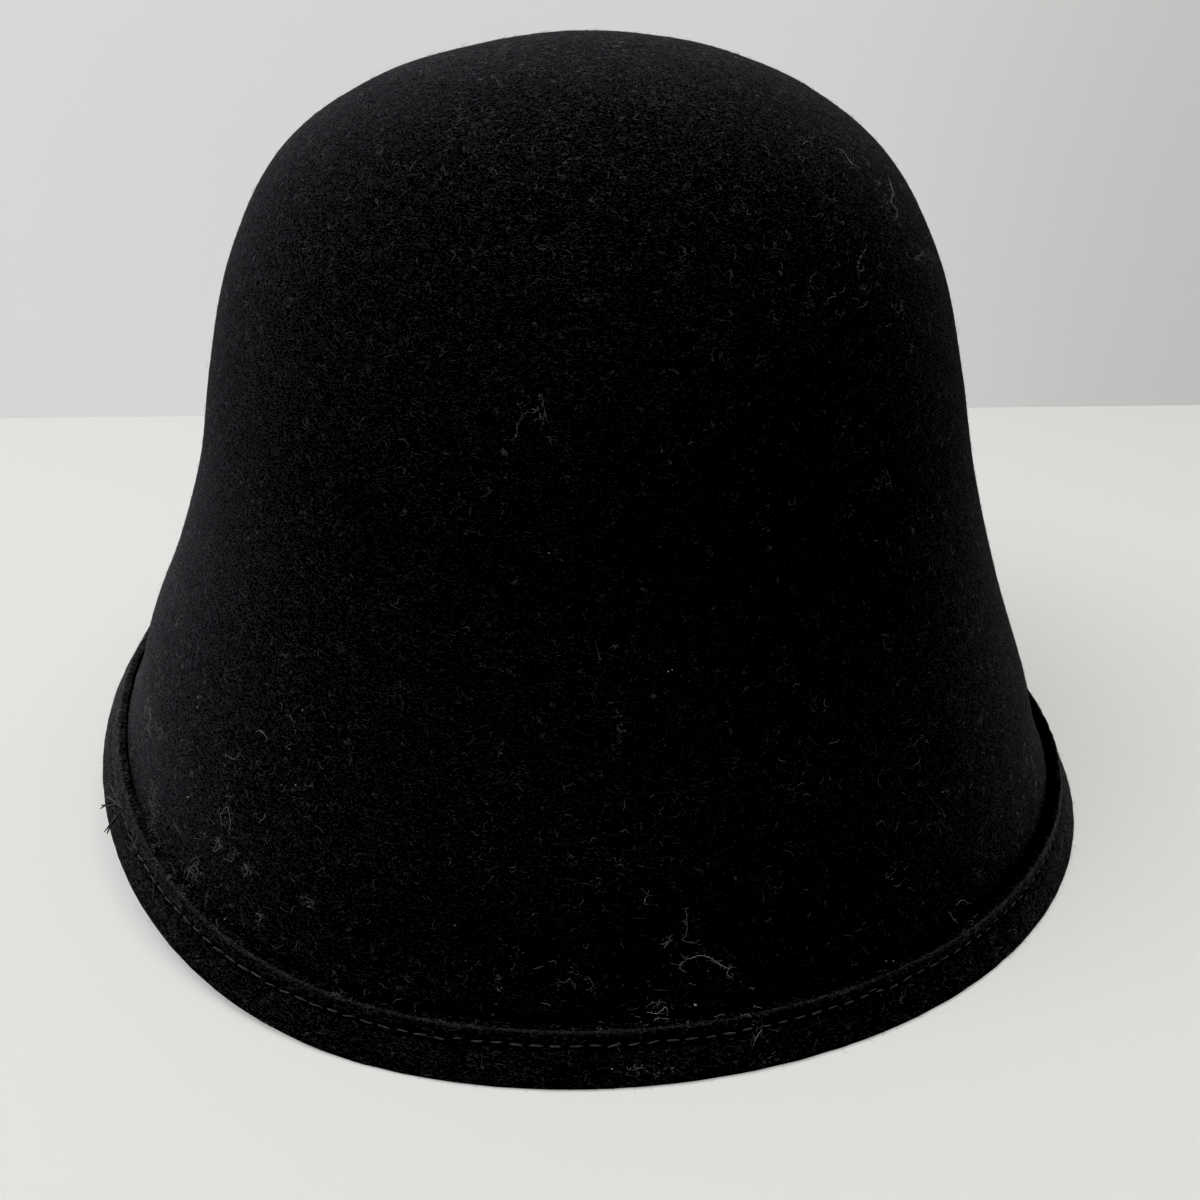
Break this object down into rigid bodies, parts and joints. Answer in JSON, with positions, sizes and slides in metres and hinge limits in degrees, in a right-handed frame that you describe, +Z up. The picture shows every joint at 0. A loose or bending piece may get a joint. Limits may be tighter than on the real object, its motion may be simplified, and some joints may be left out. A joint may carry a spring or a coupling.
{
  "type": "cloche hat",
  "caption": "Black felt cloche with a rounded crown that flares into a short bell brim, edged by a stitched felt band.",
  "frame": {"origin": "on the resting surface, under the middle of the hat", "axes": "+Z up through the crown, -Y to the front of the hat, +X to the right as seen from the front"},
  "size_m": [0.2404, 0.2628, 0.168],
  "materials": {
    "body_felt": "black wool felt, short matte nap",
    "band_felt": "black wool felt, rougher reverse face, matte"
  },
  "bodies": {
    "root": {"felt_body": "body_felt", "edge_band": "band_felt"}
  },
  "joints": []
}
